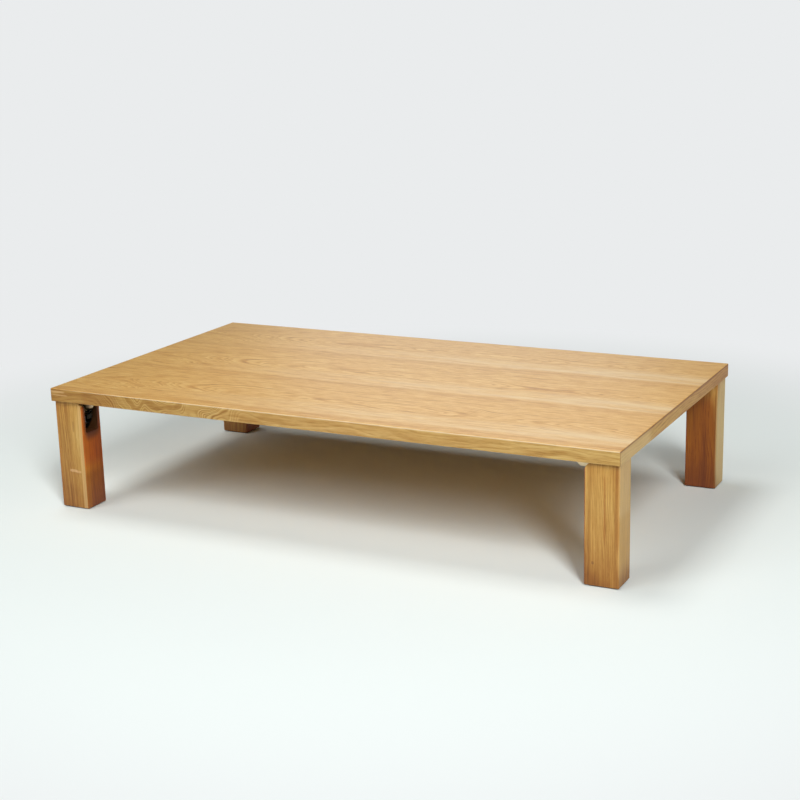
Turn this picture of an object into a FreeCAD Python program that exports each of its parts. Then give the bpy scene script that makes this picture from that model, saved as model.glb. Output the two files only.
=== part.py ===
import FreeCAD, Part
import math
import os

from FreeCAD import Placement, Rotation, Vector

# A folding low table: a hollow-core panel with solid wood edging, on four square legs that fold inwards.
# Frame: millimetres, X along the table, Y across it, Z up, origin on the floor under the panel's centre.

# The table as a whole
table_length = 1500.0
table_width = 850.0
table_height = 315.0
panel_thickness = 33.0

# The panel's layers, edging and core
veneer_thickness = 0.8
face_board_thickness = 4.0
back_board_thickness = 4.0
edging_width = 18.0
top_arris_radius = 2.0
bottom_arris_radius = 1.0
panel_corner_radius = 2.5
rail_width = 60.0
batten_width = 40.0
batten_count = 5

# The legs: end_inset and side_inset are measured from the panel's ends and long sides
leg_length = 80.0
leg_width = 73.0
end_inset = 4.0
side_inset = 10.5
leg_edge_radius = 2.0
leg_foot_chamfer = 1.5
leg_top_chamfer = 0.8
leg_top_round = 22.0
pad_thickness = 2.5
pad_inset = 5.0

# The recess that holds the hinge, cut from the leg's inner face and open at its top
recess_width = 48.0
recess_height = 83.0
recess_depth = 40.0
recess_corner_radius = 3.0

# The hinge pin, and how far it lies behind the leg's inner face
pin_inset = 20.0
fold_clearance = 0.5
hinge_pin_radius = 4.0
pin_clearance = 0.05
pin_head_radius = 6.5
pin_head_thickness = 2.0
head_clearance = 0.2

# The table bracket: a steel channel under the panel, whose two ears carry the hinge pin
ear_sheet = 2.3
ear_spread = 32.0
bend_radius = 3.0
heel_reach = 14.0
toe_reach = 24.0
toe_round = 12.0
cam_radius = 16.0
notch_depth = 4.0

# The leg bracket: a steel channel screwed into the recess, outside the ears
cheek_sheet = 2.0
cheek_clearance = 0.3
cheek_round = 11.0
cheek_lower_reach = 15.0
cheek_waist_drop = 50.0
bracket_foot_gap = 2.5
shelf_drop = 42.0
shelf_width = 20.0
shelf_reach = 6.0
shelf_hole_clearance = 0.3

# The lock: a cross pin in the leg bracket's slots, a lever on it and a spring under it
lock_pin_radius = 2.5
notch_clearance = 0.15
release_clearance = 0.5
lock_head_radius = 3.6
lock_head_thickness = 1.2
hub_radius = 4.5
hub_length = 24.0
lever_sheet = 2.0
lever_width = 20.0
lever_reach = 16.0
lever_lip = 10.0
stem_radius = 2.0
stem_length = 27.0
collar_radius = 4.3
collar_thickness = 1.0
spring_wire_radius = 0.5
spring_coil_radius = 3.1
spring_turns = 7
spring_steps_per_turn = 4
spring_end_gap = 0.1

# Screws: countersunk into the panel, pan-headed into the legs
panel_screw_radius = 2.1
panel_screw_length = 22.0
panel_screw_head_radius = 4.2
panel_screw_reach = 42.0
panel_screw_heel = 28.0
panel_screw_spread = 18.0
leg_screw_radius = 1.9
leg_screw_length = 18.0
leg_screw_head_radius = 3.5
leg_screw_head_height = 2.2
upper_screw_drop = 51.0
upper_screw_spread = 22.0
lower_screw_drop = 74.0
lower_screw_spread = 15.0
screw_clearance = 0.05
screw_point_share = 0.25
cross_slot_width = 1.0
cross_slot_share = 1.1
cross_slot_depth = 1.1

# Shares of a piece's own size: the chamfer on a pin's head, on the stem's end and on a screw's point
head_chamfer_share = 0.3
stem_chamfer_share = 0.3
screw_tip_share = 0.25
lever_bend_share = 0.75

# How far a cutting tool runs past what it cuts
overrun = 5.0

# Places that follow from the sizes above. A leg's own frame has its origin on the panel's underside,
# in the plane of the leg's inner face and on its centre line, with +X towards the middle of the table.
underside_z = table_height - panel_thickness
leg_centre_y = table_width / 2 - side_inset - leg_width / 2
leg_face_x = table_length / 2 - end_inset - leg_length
pin_x = -pin_inset
pin_z = -(pin_inset + fold_clearance)
ear_out = ear_spread / 2
ear_in = ear_out - ear_sheet
cheek_in = ear_out + cheek_clearance
cheek_out = cheek_in + cheek_sheet
locked_radius = cam_radius - notch_depth + lock_pin_radius
released_radius = cam_radius + lock_pin_radius + release_clearance
lock_travel = released_radius - locked_radius
lock_z = pin_z - released_radius
web_back_x = -recess_depth
web_front_x = web_back_x + cheek_sheet
shelf_top_z = pin_z - shelf_drop
collar_bottom_z = lock_z - hub_radius - collar_thickness
panel_screw_places = [(x, side * panel_screw_spread / 2)
                      for x in (-panel_screw_heel, panel_screw_reach - panel_screw_heel)
                      for side in (-1, 1)]
leg_screw_places = [(side * spread / 2, -drop)
                     for spread, drop in ((upper_screw_spread, upper_screw_drop),
                                          (lower_screw_spread, lower_screw_drop))
                     for side in (-1, 1)]

corners = {"front_left": (-1, -1), "front_right": (1, -1),
           "back_left": (-1, 1), "back_right": (1, 1)}


def block(x_low, x_high, y_low, y_high, z_low, z_high):
    """A box between two corners."""
    return Part.makeBox(x_high - x_low, y_high - y_low, z_high - z_low, Vector(x_low, y_low, z_low))


def bar_y(radius, half_length, x, z):
    """A round bar across the table, centred on the leg's middle plane."""
    return Part.makeCylinder(radius, 2 * half_length, Vector(x, -half_length, z), Vector(0, 1, 0))


def plate_y(outline, y_low, y_high):
    """A flat plate across the table: an outline of (x, z) points, from y_low to y_high."""
    points = [Vector(x, y_low, z) for x, z in outline]
    face = Part.Face(Part.makePolygon(points + points[:1]))
    return face.extrude(Vector(0, y_high - y_low, 0))


def plate_z(outline, z_low, z_high):
    """A flat plate lying down: an outline of (x, y) points, from z_low to z_high."""
    points = [Vector(x, y, z_low) for x, y in outline]
    face = Part.Face(Part.makePolygon(points + points[:1]))
    return face.extrude(Vector(0, 0, z_high - z_low))


def edges_where(shape, test):
    """The edges whose two end points both pass the test."""
    return [e for e in shape.Edges if all(test(v.Point) for v in e.Vertexes)]


def both_sides(piece):
    """A piece and its mirror image in the leg's middle plane."""
    return piece, piece.mirror(Vector(0, 0, 0), Vector(0, 1, 0))


def joined(pieces):
    """Pieces fused into one clean solid."""
    return pieces[0].multiFuse(list(pieces[1:])).removeSplitter()


# The panel

def panel_blank():
    """The whole panel as one block with its rounded corners and arrises, which the layers are cut from."""
    blank = block(-table_length / 2, table_length / 2, -table_width / 2, table_width / 2,
                  underside_z, table_height)
    upright = [e for e in blank.Edges if abs(e.Vertexes[0].Z - e.Vertexes[1].Z) > panel_thickness / 2]
    blank = blank.makeFillet(panel_corner_radius, upright)
    middle_z = underside_z + panel_thickness / 2
    upper = edges_where(blank, lambda p: p.z > middle_z)
    blank = blank.makeFillet(top_arris_radius, upper)
    lower = edges_where(blank, lambda p: p.z < underside_z + bottom_arris_radius / 2)
    return blank.makeFillet(bottom_arris_radius, lower)


def panel_layer(z_low, z_high, margin):
    """A flat sheet of the panel, a margin inside its outline."""
    return block(margin - table_length / 2, table_length / 2 - margin,
                 margin - table_width / 2, table_width / 2 - margin, z_low, z_high)


def edging_strips(blank):
    """The four solid edging strips, mitred at the corners, below the veneer."""
    long_out, wide_out = table_length / 2, table_width / 2
    long_in, wide_in = long_out - edging_width, wide_out - edging_width
    outer = [(-long_out, -wide_out), (long_out, -wide_out), (long_out, wide_out), (-long_out, wide_out)]
    inner = [(-long_in, -wide_in), (long_in, -wide_in), (long_in, wide_in), (-long_in, wide_in)]
    strips = {}
    for n, name in enumerate(("front", "right", "back", "left")):
        m = (n + 1) % len(outer)
        outline = [outer[n], outer[m], inner[m], inner[n]]
        strip = plate_z(outline, underside_z, table_height - veneer_thickness)
        strips["edging_" + name] = strip.common(blank)
    return strips


def core_pieces():
    """The softwood frame between the two boards: four rails, and battens across the hollow."""
    z_low = underside_z + back_board_thickness
    z_high = table_height - veneer_thickness - face_board_thickness
    long_in = table_length / 2 - edging_width
    wide_in = table_width / 2 - edging_width
    rail_in = wide_in - rail_width
    end_in = long_in - rail_width
    pieces = {
        "core_rail_front": block(-long_in, long_in, -wide_in, -rail_in, z_low, z_high),
        "core_rail_back": block(-long_in, long_in, rail_in, wide_in, z_low, z_high),
        "core_rail_left": block(-long_in, -end_in, -rail_in, rail_in, z_low, z_high),
        "core_rail_right": block(end_in, long_in, -rail_in, rail_in, z_low, z_high),
    }
    pitch = 2 * end_in / (batten_count + 1)
    for n in range(batten_count):
        x = (n + 1) * pitch - end_in
        pieces["core_batten_%d" % (n + 1)] = block(x - batten_width / 2, x + batten_width / 2,
                                                   -rail_in, rail_in, z_low, z_high)
    return pieces


# The leg and its pad, in the leg's own frame

def leg_body():
    """The square leg, rounded at its inner top corner and recessed for the hinge."""
    foot_z = pad_thickness - underside_z
    leg = block(-leg_length, 0, -leg_width / 2, leg_width / 2, foot_z, 0)
    upright = [e for e in leg.Edges if abs(e.Vertexes[0].Z - e.Vertexes[1].Z) > leg_top_round]
    leg = leg.makeFillet(leg_edge_radius, upright)
    middle_z = foot_z / 2
    leg = leg.makeChamfer(leg_foot_chamfer, edges_where(leg, lambda p: p.z < middle_z))
    leg = leg.makeChamfer(leg_top_chamfer, edges_where(leg, lambda p: p.z > middle_z))
    half = leg_width / 2 + overrun
    corner = block(-leg_top_round, overrun, -half, half, -leg_top_round, overrun)
    corner = corner.cut(bar_y(leg_top_round, half, -leg_top_round, -leg_top_round))
    recess = block(-recess_depth, overrun, -recess_width / 2, recess_width / 2, -recess_height, overrun)
    lower = [e for e in edges_where(recess, lambda p: p.z < 0)
             if abs(e.Vertexes[0].X - e.Vertexes[1].X) > recess_depth / 2]
    recess = recess.makeFillet(recess_corner_radius, lower)
    leg = leg.cut(corner).cut(recess)
    for y, z in leg_screw_places:
        leg = leg.cut(screw_hole_x(y, z))
    return leg


def screw_hole_x(y, z):
    """The pilot hole for one leg screw, into the recess's floor."""
    return Part.makeCylinder(leg_screw_radius + screw_clearance, leg_screw_length + overrun,
                             Vector(web_front_x + overrun, y, z), Vector(-1, 0, 0))


def foot_pad():
    """The felt pad under the leg."""
    return block(pad_inset - leg_length, -pad_inset, pad_inset - leg_width / 2,
                 leg_width / 2 - pad_inset, -underside_z, pad_thickness - underside_z)


# The hinge, in the leg's own frame

def ear():
    """One ear of the table bracket: a round cam about the pin with a notch for each position of the leg,
    and a flange that runs out to a rounded toe."""
    heel_x = pin_x - heel_reach
    flange_z = pin_z + lock_pin_radius + release_clearance
    outline = [(heel_x, 0), (toe_reach, 0), (toe_reach, flange_z), (pin_x, flange_z),
               (pin_x, pin_z), (heel_x, pin_z)]
    plate = plate_y(outline, ear_in, ear_out)
    toe = edges_where(plate, lambda p: p.x > toe_reach - toe_round and p.z < flange_z / 2)
    plate = plate.makeFillet(toe_round, toe)
    cam = Part.makeCylinder(cam_radius, ear_sheet, Vector(pin_x, ear_in, pin_z), Vector(0, 1, 0))
    plate = plate.fuse(cam)
    slot = lock_pin_radius + notch_clearance
    reach = cam_radius + overrun
    half = ear_out + overrun
    down = block(pin_x - slot, pin_x + slot, -half, half, pin_z - reach, pin_z - locked_radius)
    down = down.fuse(bar_y(slot, half, pin_x, pin_z - locked_radius))
    inward = block(pin_x + locked_radius, pin_x + reach, -half, half, pin_z - slot, pin_z + slot)
    inward = inward.fuse(bar_y(slot, half, pin_x + locked_radius, pin_z))
    bore = bar_y(hinge_pin_radius + pin_clearance, half, pin_x, pin_z)
    return plate.cut(down).cut(inward).cut(bore)


def table_bracket():
    """The channel screwed under the panel: its web lies on the underside and its ears hang down."""
    web = block(pin_x - heel_reach, toe_reach, -ear_out, ear_out, -ear_sheet, 0)
    bracket = joined([web, *both_sides(ear())])
    bends = edges_where(bracket, lambda p: p.z > -ear_sheet / 2 and abs(p.y) > ear_out - ear_sheet / 2)
    bends = [e for e in bends if abs(e.Vertexes[0].X - e.Vertexes[1].X) > heel_reach]
    bracket = bracket.makeFillet(bend_radius, bends)
    for x, y in panel_screw_places:
        bracket = bracket.cut(panel_screw(x, y, screw_clearance))
    return bracket


def leg_bracket():
    """The channel screwed to the recess's floor: two cheeks with slots for the lock, and a spring shelf."""
    top_z = pin_z + cheek_round
    nose_x = pin_x + cheek_round
    foot_z = bracket_foot_gap - recess_height
    lower_x = web_back_x + cheek_lower_reach
    outline = [(web_back_x, top_z), (pin_x, top_z), (pin_x, pin_z), (nose_x, pin_z),
               (nose_x, -cheek_waist_drop), (lower_x, foot_z), (web_back_x, foot_z)]
    cheek = plate_y(outline, cheek_in, cheek_out)
    cheek = cheek.fuse(Part.makeCylinder(cheek_round, cheek_sheet, Vector(pin_x, cheek_in, pin_z),
                                         Vector(0, 1, 0)))
    half = cheek_out + overrun
    slot = lock_pin_radius + notch_clearance
    run = block(pin_x - slot, pin_x + slot, -half, half, pin_z - released_radius, pin_z - locked_radius)
    web = block(web_back_x, web_front_x, -cheek_out, cheek_out, foot_z, top_z)
    shelf = block(web_back_x, pin_x + shelf_reach, -shelf_width / 2, shelf_width / 2,
                  shelf_top_z - cheek_sheet, shelf_top_z)
    bracket = joined([web, shelf, *both_sides(cheek)])
    bends = edges_where(bracket, lambda p: p.x < web_front_x - cheek_sheet / 2
                        and abs(p.y) > cheek_out - cheek_sheet / 2)
    bends = [e for e in bends if abs(e.Vertexes[0].Z - e.Vertexes[1].Z) > cheek_waist_drop]
    bracket = bracket.makeFillet(bend_radius, bends)
    bracket = bracket.cut(run)
    for radius in (locked_radius, released_radius):
        bracket = bracket.cut(bar_y(slot, half, pin_x, pin_z - radius))
    bracket = bracket.cut(bar_y(hinge_pin_radius + pin_clearance, half, pin_x, pin_z))
    guide = Part.makeCylinder(stem_radius + shelf_hole_clearance, cheek_sheet + 2 * overrun,
                              Vector(pin_x, 0, shelf_top_z - cheek_sheet - overrun))
    bracket = bracket.cut(guide)
    for y, z in leg_screw_places:
        bracket = bracket.cut(screw_hole_x(y, z))
    return bracket


def headed_pin(radius, head_radius, head_thickness, x, z):
    """A pin across the cheeks with a head outside each of them."""
    head_y = cheek_out + head_clearance
    shaft = bar_y(radius, head_y, x, z)
    head = Part.makeCylinder(head_radius, head_thickness, Vector(x, head_y, z), Vector(0, 1, 0))
    rim = [e for e in head.Edges if all(v.Y > head_y + head_thickness / 2 for v in e.Vertexes)]
    head = head.makeChamfer(head_thickness * head_chamfer_share, rim)
    return joined([shaft, *both_sides(head)])


def release_lever():
    """The lever on the lock pin: a hub, a bent thumb plate, and a stem that guides the spring."""
    hub = bar_y(hub_radius, hub_length / 2, pin_x, lock_z)
    lip_x = pin_x + lever_reach
    outline = [(pin_x, lock_z - lever_sheet / 2), (lip_x - lever_sheet, lock_z - lever_sheet / 2),
               (lip_x - lever_sheet, lock_z - lever_lip), (lip_x, lock_z - lever_lip),
               (lip_x, lock_z + lever_sheet / 2), (pin_x, lock_z + lever_sheet / 2)]
    plate = plate_y(outline, -lever_width / 2, lever_width / 2)
    collar = Part.makeCylinder(collar_radius, hub_radius + collar_thickness,
                               Vector(pin_x, 0, collar_bottom_z))
    stem = Part.makeCylinder(stem_radius, stem_length, Vector(pin_x, 0, collar_bottom_z - stem_length))
    point = [e for e in stem.Edges if all(v.Z < collar_bottom_z - stem_length / 2 for v in e.Vertexes)]
    stem = stem.makeChamfer(stem_radius * stem_chamfer_share, point)
    lever = joined([hub, plate, collar, stem])
    outer = [e for e in lever.Edges if all(v.X > lip_x - lever_sheet / 4 for v in e.Vertexes)
             and abs(e.Vertexes[0].Y - e.Vertexes[-1].Y) > lever_width / 2
             and e.Vertexes[0].Z > lock_z]
    lever = lever.makeFillet(lever_sheet * lever_bend_share, outer)
    return lever.cut(bar_y(lock_pin_radius + pin_clearance, hub_length, pin_x, lock_z))


def coil_point(turn, low, rise):
    """A point on the spring's centre line and the line's direction there, so many turns from its foot."""
    angle = 2 * math.pi * turn
    pitch = rise / spring_turns
    x = spring_coil_radius * math.cos(angle)
    y = spring_coil_radius * math.sin(angle)
    return Vector(x, y, low + pitch * turn), Vector(-y, x, pitch / (2 * math.pi)).normalize()


def tangent_arc(start, along, end):
    """The arc that leaves the start in a direction and reaches the end. Its middle is a chord's half
    plus the arc's rise, which is half the chord times the tangent of a quarter of the arc's turn."""
    chord = end - start
    across = along - chord * (along.dot(chord) / chord.dot(chord))
    quarter = math.acos(min(1, along.dot(chord) / chord.Length)) / 2
    middle = start + chord / 2 + across.normalize() * (chord.Length / 2 * math.tan(quarter))
    return Part.Arc(start, middle, end).toShape()


def biarc(start, along, end, away):
    """Two arcs that meet smoothly, from one point and direction to another. Both legs of each arc's
    corner have one length, which solves the quadratic that makes the meeting tangent."""
    chord = end - start
    total = along + away
    a = 2 * (1 - along.dot(away))
    b = chord.dot(total)
    reach = (math.sqrt(b * b + a * chord.dot(chord)) - b) / a
    middle = (start + end + (along - away) * reach) / 2
    turned = (end - away * reach - start - along * reach).normalize()
    return [tangent_arc(start, along, middle), tangent_arc(middle, turned, end)]


def lock_spring():
    """The compression spring between the shelf and the lever's collar, as one wound wire."""
    low = shelf_top_z + spring_wire_radius + spring_end_gap
    rise = collar_bottom_z - spring_wire_radius - spring_end_gap - low
    steps = spring_turns * spring_steps_per_turn
    marks = [coil_point(n / spring_steps_per_turn, low, rise) for n in range(steps + 1)]
    arcs = []
    for (start, along), (end, away) in zip(marks, marks[1:]):
        arcs += biarc(start, along, end, away)
    start, along = marks[0]
    section = Part.Wire(Part.makeCircle(spring_wire_radius, start, along))
    wire = Part.Wire(arcs).makePipeShell([section], True, False)
    wire.translate(Vector(pin_x, 0, 0))
    return wire


def least_spring_gap():
    """The least gap between neighbouring turns of the spring's wire, measured on points a turn apart."""
    low = shelf_top_z + spring_wire_radius + spring_end_gap
    rise = collar_bottom_z - spring_wire_radius - spring_end_gap - low
    samples = spring_turns * spring_steps_per_turn * spring_steps_per_turn
    points = [coil_point(n * spring_turns / samples, low, rise)[0] for n in range(samples + 1)]
    half_turn = samples // spring_turns // 2
    return min(p.distanceToPoint(q) - 2 * spring_wire_radius
               for n, p in enumerate(points) for q in points[n + half_turn:])


# Screws, in the leg's own frame

def cross_slot(head_radius):
    """The cross that a screwdriver fits, at the origin and pointing down."""
    reach = head_radius * cross_slot_share / 2
    half = cross_slot_width / 2
    depth = cross_slot_depth
    return block(-reach, reach, -half, half, -depth, overrun).fuse(
        block(-half, half, -reach, reach, -depth, overrun))


def screw(radius, length, head):
    """A screw pointing up, with its head's face at the origin. head is the head's own solid."""
    point = length * screw_point_share
    shaft = Part.makeCylinder(radius, length - point)
    tip = Part.makeCone(radius, radius * screw_tip_share, point, Vector(0, 0, length - point))
    return joined([head, shaft, tip])


def panel_screw(x, y, grow):
    """One countersunk screw up through the table bracket's web. grow swells it into its own hole."""
    slope = panel_screw_head_radius - panel_screw_radius
    head = Part.makeCone(panel_screw_head_radius + grow, panel_screw_radius + grow, slope)
    body = screw(panel_screw_radius + grow, panel_screw_length + grow, head)
    if not grow:
        cross = cross_slot(panel_screw_head_radius)
        cross.rotate(Vector(0, 0, 0), Vector(1, 0, 0), 180)
        body = body.cut(cross)
    body.translate(Vector(x, y, -ear_sheet))
    return body


def leg_screw(y, z):
    """One pan-headed screw through the leg bracket's web, into the recess's floor."""
    head = Part.makeCylinder(leg_screw_head_radius, leg_screw_head_height)
    rim = [e for e in head.Edges if all(v.Z < leg_screw_head_height / 2 for v in e.Vertexes)]
    head = head.makeFillet(leg_screw_head_height / 2, rim)
    body = screw(leg_screw_radius, leg_screw_length + leg_screw_head_height, head)
    cross = cross_slot(leg_screw_head_radius)
    cross.rotate(Vector(0, 0, 0), Vector(1, 0, 0), 180)
    body = body.cut(cross)
    body.rotate(Vector(0, 0, 0), Vector(0, 1, 0), -90)
    body.translate(Vector(web_front_x + leg_screw_head_height, y, z))
    return body


def corner_pieces():
    """Every piece of one corner, in the leg's own frame. Screws are groups of separate solids."""
    return {
        "leg": leg_body(),
        "foot_pad": foot_pad(),
        "table_bracket": table_bracket(),
        "leg_bracket": leg_bracket(),
        "hinge_pin": headed_pin(hinge_pin_radius, pin_head_radius, pin_head_thickness, pin_x, pin_z),
        "lock_pin": headed_pin(lock_pin_radius, lock_head_radius, lock_head_thickness, pin_x, lock_z),
        "release_lever": release_lever(),
        "lock_spring": lock_spring(),
        "table_bracket_screws": Part.makeCompound([panel_screw(x, y, 0) for x, y in panel_screw_places]),
        "leg_bracket_screws": Part.makeCompound([leg_screw(y, z) for y, z in leg_screw_places]),
    }


def corner_placement(x_side, y_side):
    """Where a corner's own frame lies. The right-hand corners are turned half round, so they fold inwards."""
    turn = Rotation(Vector(0, 0, 1), 180 if x_side > 0 else 0)
    return Placement(Vector(x_side * leg_face_x, y_side * leg_centre_y, underside_z), turn)


def with_screw_holes(piece):
    """A panel piece with the holes of all the table brackets' screws."""
    for x_side, y_side in corners.values():
        for x, y in panel_screw_places:
            hole = panel_screw(x, y, screw_clearance)
            hole.Placement = corner_placement(x_side, y_side).multiply(hole.Placement)
            piece = piece.cut(hole)
    return piece


def build():
    """All the nodes of the table, by name."""
    blank = panel_blank()
    veneer_z = table_height - veneer_thickness
    nodes = {
        "top_veneer": blank.common(panel_layer(veneer_z, table_height, 0)),
        "face_board": panel_layer(veneer_z - face_board_thickness, veneer_z, edging_width),
        "back_board": with_screw_holes(
            panel_layer(underside_z, underside_z + back_board_thickness, edging_width)),
    }
    nodes.update(edging_strips(blank))
    nodes.update(core_pieces())
    for name in ("core_rail_front", "core_rail_back"):
        nodes[name] = with_screw_holes(nodes[name])
    pieces = corner_pieces()
    for corner, sides in corners.items():
        for name, piece in pieces.items():
            placed = piece.copy()
            placed.Placement = corner_placement(*sides).multiply(placed.Placement)
            nodes[name + "_" + corner] = placed
    return nodes


os.makedirs("parts", exist_ok=True)
for node_name, shape in build().items():
    shape.exportStep("parts/" + node_name + ".step")
print("lock travel %.2f mm, least gap in the lock spring %.2f mm" % (lock_travel, least_spring_gap()))
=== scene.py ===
import math

import bpy
import numpy as np
from mathutils import Matrix, Vector


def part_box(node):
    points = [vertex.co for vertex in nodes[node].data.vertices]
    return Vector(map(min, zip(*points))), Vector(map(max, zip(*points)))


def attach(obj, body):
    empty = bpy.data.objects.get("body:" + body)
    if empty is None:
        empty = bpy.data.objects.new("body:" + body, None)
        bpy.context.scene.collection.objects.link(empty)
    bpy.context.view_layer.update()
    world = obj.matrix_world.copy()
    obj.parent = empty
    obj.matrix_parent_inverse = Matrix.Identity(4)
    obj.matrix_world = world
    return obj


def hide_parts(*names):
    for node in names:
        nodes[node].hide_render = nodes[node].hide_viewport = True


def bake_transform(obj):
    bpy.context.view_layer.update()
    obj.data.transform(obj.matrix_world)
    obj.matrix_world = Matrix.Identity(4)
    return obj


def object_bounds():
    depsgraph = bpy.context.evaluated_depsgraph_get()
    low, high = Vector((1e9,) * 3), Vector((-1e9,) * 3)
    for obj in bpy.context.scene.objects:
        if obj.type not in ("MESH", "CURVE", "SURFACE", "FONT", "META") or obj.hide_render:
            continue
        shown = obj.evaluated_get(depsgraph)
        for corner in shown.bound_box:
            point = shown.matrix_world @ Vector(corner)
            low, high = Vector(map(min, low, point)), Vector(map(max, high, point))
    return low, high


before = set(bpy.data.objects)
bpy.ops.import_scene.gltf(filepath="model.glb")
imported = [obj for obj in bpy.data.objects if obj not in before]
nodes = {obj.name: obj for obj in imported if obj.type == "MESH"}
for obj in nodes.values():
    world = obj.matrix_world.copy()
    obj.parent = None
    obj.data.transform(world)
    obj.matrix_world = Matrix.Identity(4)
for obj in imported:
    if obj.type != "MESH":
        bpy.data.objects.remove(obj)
cad_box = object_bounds()


# The core
# Sawn softwood rails and battens, which make a light frame between two thin boards. They are planed to
# one height and glued. The boards hide them, so their wood is plain.


def linear(hex_colour):
    """An sRGB hex colour as linear red, green, blue and an alpha of 1."""
    channels = [int(hex_colour[i:i + 2], 16) / 255 for i in (1, 3, 5)]
    return (*[c / 12.92 if c <= 0.04045 else ((c + 0.055) / 1.055) ** 2.4 for c in channels], 1)


def add(tree, kind, sources=None, **settings):
    """A new node with its properties set. A source is a node, whose first output is linked, a socket
    or a plain value, and its key is the input's name or number."""
    node = tree.nodes.new(kind)
    for key, value in settings.items():
        setattr(node, key, value)
    for key, value in (sources or {}).items():
        if isinstance(value, bpy.types.Node):
            value = value.outputs[0]
        if isinstance(value, bpy.types.NodeSocket):
            tree.links.new(value, node.inputs[key])
        else:
            node.inputs[key].default_value = value
    return node


def set_stops(ramp, stops):
    """The ramp node with these stops. Each is a position and an sRGB hex colour or a plain level."""
    elements = ramp.color_ramp.elements
    while len(elements) < len(stops):
        elements.new(0.5)
    for element, (position, level) in zip(elements, stops):
        element.position = position
        element.color = linear(level) if isinstance(level, str) else (level, level, level, 1)
    return ramp


def ramp_along(tree, distance, stops):
    """A ramp over a distance. Each stop is a number of metres and an sRGB hex colour or a plain level."""
    first, last = stops[0][0], stops[-1][0]
    share = add(tree, "ShaderNodeMapRange", {"Value": distance, "From Min": first, "From Max": last})
    return set_stops(add(tree, "ShaderNodeValToRGB", {0: share}),
                     [((at - first) / (last - first), level) for at, level in stops])


def new_material(name):
    """An empty node material with its tree and its shader."""
    material = bpy.data.materials.new(name)
    material.use_nodes = True
    tree = material.node_tree
    return material, tree, tree.nodes["Principled BSDF"]


def dress(names, material):
    """Gives one material to the named nodes of the frame."""
    for name in names:
        mesh = nodes[name].data
        mesh.materials.clear()
        mesh.materials.append(material)


def stretched_noise(tree, point, per_metre, detail=2):
    """Noise with about so many lumps a metre along each axis."""
    spread = add(tree, "ShaderNodeVectorMath", {0: point, 1: per_metre}, operation="MULTIPLY")
    return add(tree, "ShaderNodeTexNoise", {"Vector": spread, "Scale": 1, "Detail": detail})


def threads(tree, point, long_mm, wide_mm):
    """Noise drawn out along the grain, in threads so long and so wide."""
    return stretched_noise(tree, point, (1000 / long_mm, 1000 / wide_mm, 1000 / wide_mm))


# One year's ring from its start to its end: a dark porous line in spring, then dense pale wood.
RING_LEVELS = [(0, 0.45), (0.10, 0.0), (0.22, 0.25), (0.55, 0.80), (0.88, 1.0), (1, 0.45)]
ring_middle = 0.6
# A slow noise, with about one lump in every three rings, moves the rings by up to three of them.
lumps_per_ring = 0.37
rings_moved = 3.0
faintest_ring = 0.3
boldest_ring = 1.1


def growth_rings(tree, radius, ring):
    """A level for each place in a year's ring: below zero in the porous line that grows in spring, then
    rising to the dense pale wood. The radius is counted in rings, which a slow noise makes wider and
    narrower, and each ring has its own strength."""
    even = add(tree, "ShaderNodeMath", {0: radius, 1: ring}, operation="DIVIDE")
    pace = add(tree, "ShaderNodeTexNoise", {"W": even, "Scale": lumps_per_ring, "Detail": 1},
               noise_dimensions="1D")
    turns = add(tree, "ShaderNodeMath", {0: pace, 1: rings_moved, 2: even}, operation="MULTIPLY_ADD")
    year = add(tree, "ShaderNodeMath", {0: turns}, operation="FRACT")
    number = add(tree, "ShaderNodeMath", {0: turns}, operation="FLOOR")
    level = set_stops(add(tree, "ShaderNodeValToRGB", {0: year}), RING_LEVELS)
    centred = add(tree, "ShaderNodeMath", {0: level, 1: ring_middle}, operation="SUBTRACT")
    chance = add(tree, "ShaderNodeTexWhiteNoise", {"W": number}, noise_dimensions="1D").outputs["Value"]
    strength = add(tree, "ShaderNodeMath", {0: chance, 1: boldest_ring - faintest_ring, 2: faintest_ring},
                   operation="MULTIPLY_ADD")
    return add(tree, "ShaderNodeMath", {0: centred, 1: strength}, operation="MULTIPLY")


FIBRE_MM = (110, 2.4)
STREAK_MM = (450, 14)
FLECK_MM = (45, 7)
# Real pores are 0.3 mm wide and 8 long, too fine to show, so they are drawn about twice as large.
PORE_MM = (18, 0.7)
pore_begins = 0.52
pore_open = 0.64
pore_darkness = 0.45
late_wood_pores = 0.25


def grained(tree, point, rings, ring_share, thread_shares, tones):
    """The wood's colour and its pores. The tone is the middle one, moved by the rings and by noise in
    fibres, streaks and flecks, each by its share. The pores are threads of noise, which open mostly
    where the ring is low."""
    tone = add(tree, "ShaderNodeMath", {0: rings, 1: ring_share, 2: 0.5 - sum(thread_shares) / 2},
               operation="MULTIPLY_ADD")
    for size, share in zip((FIBRE_MM, STREAK_MM, FLECK_MM), thread_shares):
        tone = add(tree, "ShaderNodeMath", {0: threads(tree, point, *size), 1: share, 2: tone},
                   operation="MULTIPLY_ADD")
    colour = set_stops(add(tree, "ShaderNodeValToRGB", {0: tone}), tones)
    gap = add(tree, "ShaderNodeMapRange", {"Value": threads(tree, point, *PORE_MM),
                                           "From Min": pore_begins, "From Max": pore_open})
    spring = add(tree, "ShaderNodeMapRange", {"Value": rings, "From Min": -0.3, "From Max": 0.3,
                                              "To Min": 1.0, "To Max": late_wood_pores})
    pores = add(tree, "ShaderNodeMath", {0: gap, 1: spring}, operation="MULTIPLY")
    shaded = add(tree, "ShaderNodeMath", {0: pores, 1: pore_darkness}, operation="MULTIPLY")
    dark = add(tree, "ShaderNodeMix", {"Factor": shaded, "A": colour, "B": linear(tones[0][1])},
               data_type="RGBA")
    return dark.outputs[2], pores


pore_dullness = 0.15
pore_sink = 0.6
lacquer_roughness = 0.3


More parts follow.
